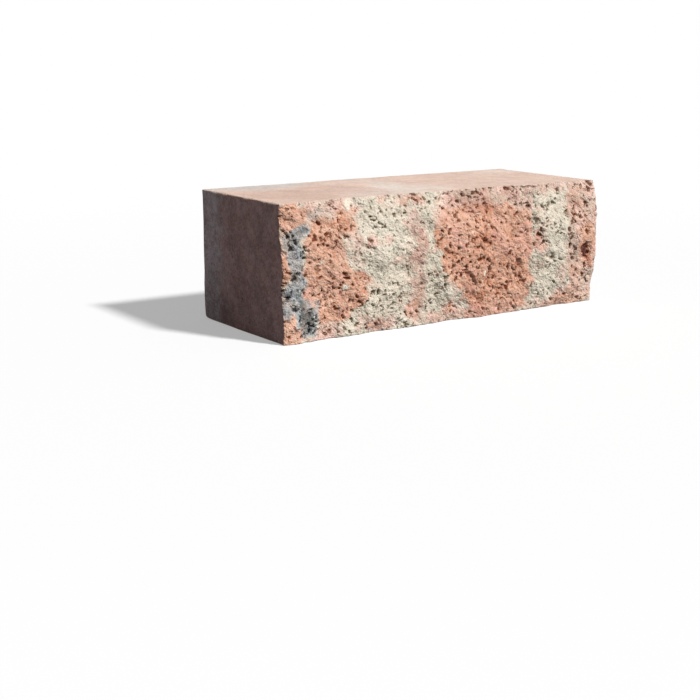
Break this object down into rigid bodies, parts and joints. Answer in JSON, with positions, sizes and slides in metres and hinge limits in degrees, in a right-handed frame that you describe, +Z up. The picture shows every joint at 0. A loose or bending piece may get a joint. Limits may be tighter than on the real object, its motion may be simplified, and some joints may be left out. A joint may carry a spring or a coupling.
{
  "type": "split-face concrete wall block",
  "caption": "Rectangular concrete wall block with smooth moulded faces, worn arrises and one rough split face along its length.",
  "frame": {"origin": "middle of the lower bed, halfway between the back face and the nominal split plane", "axes": "+X along the wall, +Y into the wall towards the back face, +Z up; the split face looks along -Y"},
  "size_m": [0.3, 0.1225, 0.1],
  "materials": {
    "concrete": "matte"
  },
  "bodies": {
    "root": {"wall_block": "concrete"}
  },
  "joints": []
}
